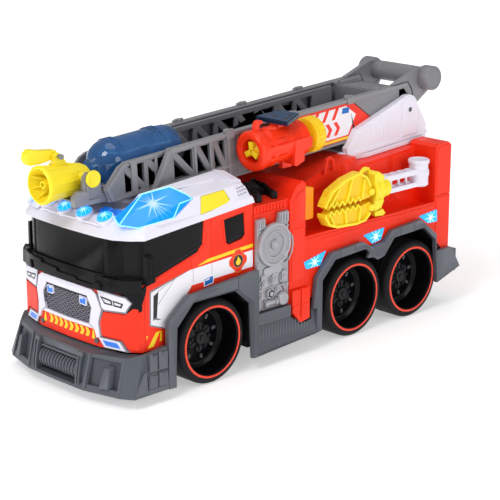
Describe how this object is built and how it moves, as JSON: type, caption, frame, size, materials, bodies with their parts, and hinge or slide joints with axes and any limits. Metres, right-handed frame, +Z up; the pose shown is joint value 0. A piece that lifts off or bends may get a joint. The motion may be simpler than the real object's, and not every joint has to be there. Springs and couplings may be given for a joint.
{
  "type": "toy fire engine",
  "caption": "Toy fire engine with three spinning axles, a raising and extending ladder with water nozzle, a dart launcher and a swing-out rescue tool.",
  "frame": {"origin": "on the ground below the middle of the vehicle's bounding box", "axes": "-Y towards the nose, +Y towards the tail, +X towards the vehicle's left side, +Z up from the ground"},
  "size_m": [0.1348, 0.3698, 0.1848],
  "materials": {
    "red": "gloss, bright red-orange",
    "white": "satin gloss white",
    "black": "satin black",
    "dark_grey": "satin blue-grey",
    "ladder_grey": "satin grey",
    "silver": "silver-filled plastic, satin",
    "yellow": "satin gloss yellow",
    "orange": "gloss red-orange",
    "blue_lens": "clear blue lens, lit",
    "navy": "translucent dark blue",
    "blue_bottle": "translucent blue bottle",
    "tyre": "smooth hard black",
    "steel": "plain",
    "board": "green laminate",
    "cell": "wrapped cell",
    "speaker": "pressed can"
  },
  "bodies": {
    "body": {"chassis": "black", "battery_door": "black", "battery_1": "cell", "battery_2": "cell", "circuit_board": "board", "speaker": "speaker", "front_bumper": "dark_grey", "left_skirt": "dark_grey", "right_skirt": "dark_grey", "rear_bumper": "dark_grey", "cab_shell": "red", "windshield": "black", "left_rear_window": "black", "right_rear_window": "black", "left_mirror": "black", "right_mirror": "black", "cab_roof": "white", "left_beacon": "blue_lens", "right_beacon": "blue_lens", "roof_lamps": "blue_lens", "rear_body": "red", "left_pump_panel": "silver", "right_pump_panel": "silver", "left_hose_reel": "silver", "right_hose_reel": "silver", "deck_clip": "black", "tool_rest": "yellow"},
    "button": {"sound_button": "yellow"},
    "turret": {"turntable": "white", "ladder_pin": "steel"},
    "ladder": {"ladder_base": "ladder_grey", "carry_handle": "ladder_grey", "launcher_body": "orange", "launcher_sight": "navy"},
    "sliding_ladder": {"ladder_extension": "ladder_grey", "water_bottle": "blue_bottle"},
    "nozzle": {"water_nozzle": "yellow"},
    "lever": {"pump_lever": "yellow"},
    "plunger": {"launcher_plunger": "yellow"},
    "missile": {"dart": "yellow"},
    "rescue_tool": {"tool_arm": "white", "tool_head": "yellow", "lower_jaw": "yellow"},
    "moving_jaw": {"upper_jaw": "yellow"},
    "trigger": {"tool_trigger": "yellow"},
    "front_wheels": {"front_axle": "steel", "front_left_rim": "black", "front_left_tyre": "tyre", "front_right_rim": "black", "front_right_tyre": "tyre"},
    "middle_wheels": {"middle_axle": "steel", "middle_left_rim": "black", "middle_left_tyre": "tyre", "middle_right_rim": "black", "middle_right_tyre": "tyre"},
    "rear_wheels": {"rear_axle": "steel", "rear_left_rim": "black", "rear_left_tyre": "tyre", "rear_right_rim": "black", "rear_right_tyre": "tyre"}
  },
  "joints": [
    {"name": "front_axle_spin", "type": "hinge", "parent": "body", "child": "front_wheels", "pos_m": [0, -0.0867, 0.03], "axis": [1, 0, 0], "continuous": true},
    {"name": "middle_axle_spin", "type": "hinge", "parent": "body", "child": "middle_wheels", "pos_m": [0, 0.0555, 0.03], "axis": [1, 0, 0], "continuous": true},
    {"name": "rear_axle_spin", "type": "hinge", "parent": "body", "child": "rear_wheels", "pos_m": [0, 0.1206, 0.03], "axis": [1, 0, 0], "continuous": true},
    {"name": "sound_button_press", "type": "slide", "parent": "body", "child": "button", "axis": [-0.972, -0.0281, -0.2334], "range_m": [0, 0.0018], "stiffness_N_per_m": 200, "springref_m": -0.001},
    {"name": "turntable_turn", "type": "hinge", "parent": "body", "child": "turret", "pos_m": [0, 0.128, 0.126], "axis": [0, 0, 1], "range_deg": [-1, 1]},
    {"name": "ladder_lift", "type": "hinge", "parent": "turret", "child": "ladder", "pos_m": [0, 0.1475, 0.154], "axis": [-1, 0, 0], "range_deg": [0, 55]},
    {"name": "ladder_extend", "type": "slide", "parent": "ladder", "child": "sliding_ladder", "axis": [0, -0.9981, -0.0624], "range_m": [0, 0.11]},
    {"name": "nozzle_tilt", "type": "hinge", "parent": "sliding_ladder", "child": "nozzle", "pos_m": [0, -0.152, 0.1472], "axis": [-1, 0, 0], "range_deg": [-8, 20]},
    {"name": "pump_lever_swing", "type": "hinge", "parent": "nozzle", "child": "lever", "pos_m": [-0.006, -0.164, 0.161], "axis": [-1, 0, 0], "range_deg": [0, 20], "stiffness_Nm_per_rad": 0.02, "springref_deg": -5.73},
    {"name": "plunger_push", "type": "slide", "parent": "ladder", "child": "plunger", "axis": [0, -0.9981, -0.0624], "range_m": [0, 0.0055], "stiffness_N_per_m": 150, "springref_m": -0.002},
    {"name": "dart_slide", "type": "slide", "parent": "ladder", "child": "missile", "axis": [0, -0.9981, -0.0624], "range_m": [0, 0.055]},
    {"name": "tool_swing", "type": "hinge", "parent": "body", "child": "rescue_tool", "pos_m": [0.056, 0.134, 0.11], "axis": [0, 0, 1], "range_deg": [0, 90]},
    {"name": "upper_jaw_open", "type": "hinge", "parent": "rescue_tool", "child": "moving_jaw", "pos_m": [0.062, 0.07, 0.108], "axis": [-1, 0, 0], "range_deg": [0, 20], "stiffness_Nm_per_rad": 0.02, "springref_deg": -5.73},
    {"name": "trigger_pull", "type": "hinge", "parent": "rescue_tool", "child": "trigger", "pos_m": [0.0605, 0.08, 0.089], "axis": [1, 0, 0], "range_deg": [0, 12]}
  ],
  "couplings": [
    {"joint": "trigger_pull", "follows": "upper_jaw_open", "ratio": 0.6}
  ]
}
